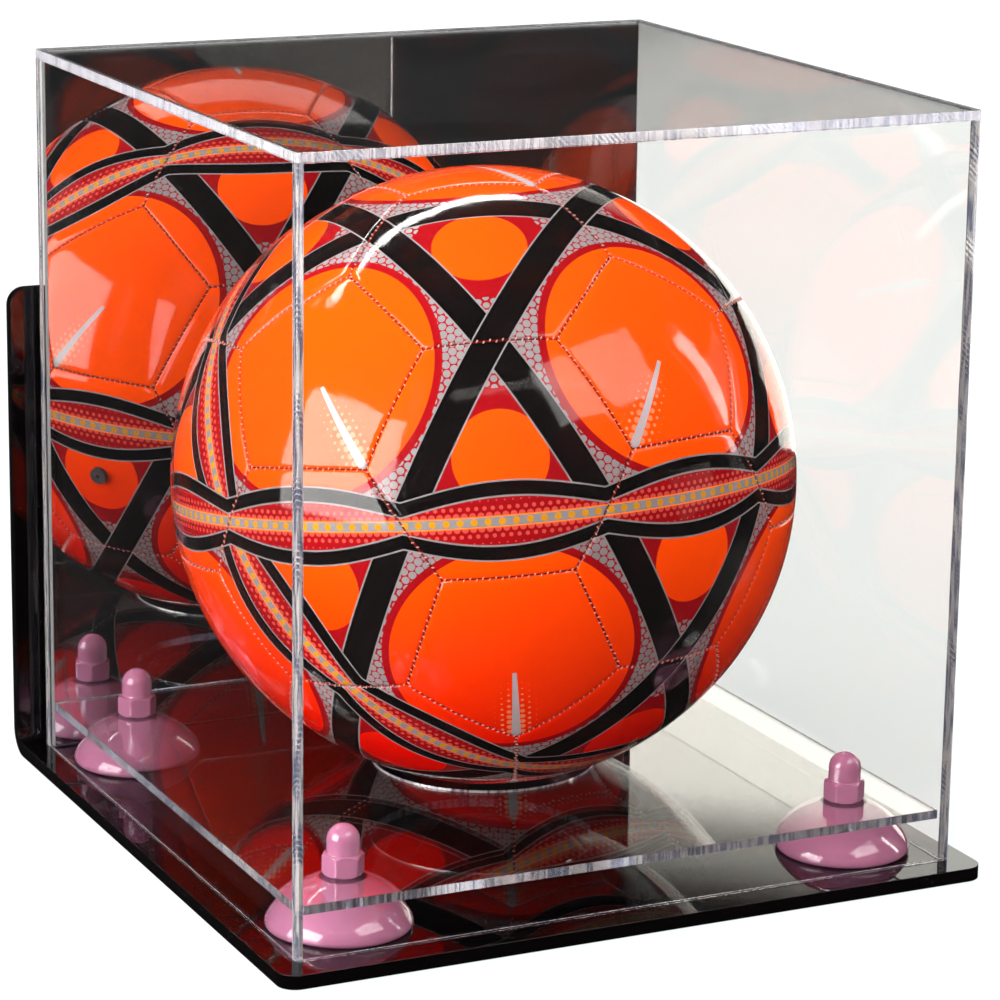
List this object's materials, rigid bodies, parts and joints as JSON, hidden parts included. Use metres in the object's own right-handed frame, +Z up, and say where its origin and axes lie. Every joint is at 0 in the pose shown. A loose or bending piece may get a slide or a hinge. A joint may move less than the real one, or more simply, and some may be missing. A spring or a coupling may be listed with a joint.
{
  "type": "football display case",
  "caption": "Clear box cover with a mirrored back over a football on a drilled platform and domed risers, on a black base bent up behind for a wall.",
  "frame": {"origin": "bottom centre of the whole case: the middle of its plan, on the underside of the base", "axes": "+X to the right along the front wall, +Y to the back, towards the mirror and the upright, +Z up"},
  "size_m": [0.262, 0.2674, 0.2669],
  "materials": {
    "black_acrylic": "polished black acrylic sheet",
    "clear_acrylic": "polished clear acrylic sheet with saw-cut edges",
    "pink_gloss": "glossy pink",
    "screw_steel": "zinc-plated",
    "mirror": "acrylic mirror",
    "tape": "double-sided tape",
    "ball_dark": "printed gloss ball cover",
    "ball_orange": "printed gloss ball cover",
    "lining_cloth": "woven cloth",
    "bladder_rubber": "matte rubber"
  },
  "bodies": {
    "base": {"base_mount": "black_acrylic", "platform": "clear_acrylic", "riser_front_left": "pink_gloss", "riser_front_right": "pink_gloss", "riser_back_left": "pink_gloss", "riser_back_right": "pink_gloss", "acorn_nut_front_left": "pink_gloss", "acorn_nut_front_right": "pink_gloss", "acorn_nut_back_left": "pink_gloss", "acorn_nut_back_right": "pink_gloss", "screw_front_left": "screw_steel", "screw_front_right": "screw_steel", "screw_back_left": "screw_steel", "screw_back_right": "screw_steel"},
    "cover": {"cover_top": "clear_acrylic", "cover_front": "clear_acrylic", "cover_back": "clear_acrylic", "cover_left": "clear_acrylic", "cover_right": "clear_acrylic", "mirror": "mirror", "mirror_tape": "tape"},
    "ball": {"ball_pentagons": "ball_dark", "ball_hexagons": "ball_orange", "ball_lining": "lining_cloth", "ball_bladder": "bladder_rubber", "ball_valve": "bladder_rubber"}
  },
  "joints": [
    {"name": "cover_lift", "type": "slide", "parent": "base", "child": "cover", "axis": [0, 0, 1], "range_m": [0, 0.25]},
    {"name": "ball_turn", "type": "hinge", "parent": "base", "child": "ball", "pos_m": [0, -0.00235, 0.12666], "axis": [0, 0, 1], "continuous": true}
  ]
}
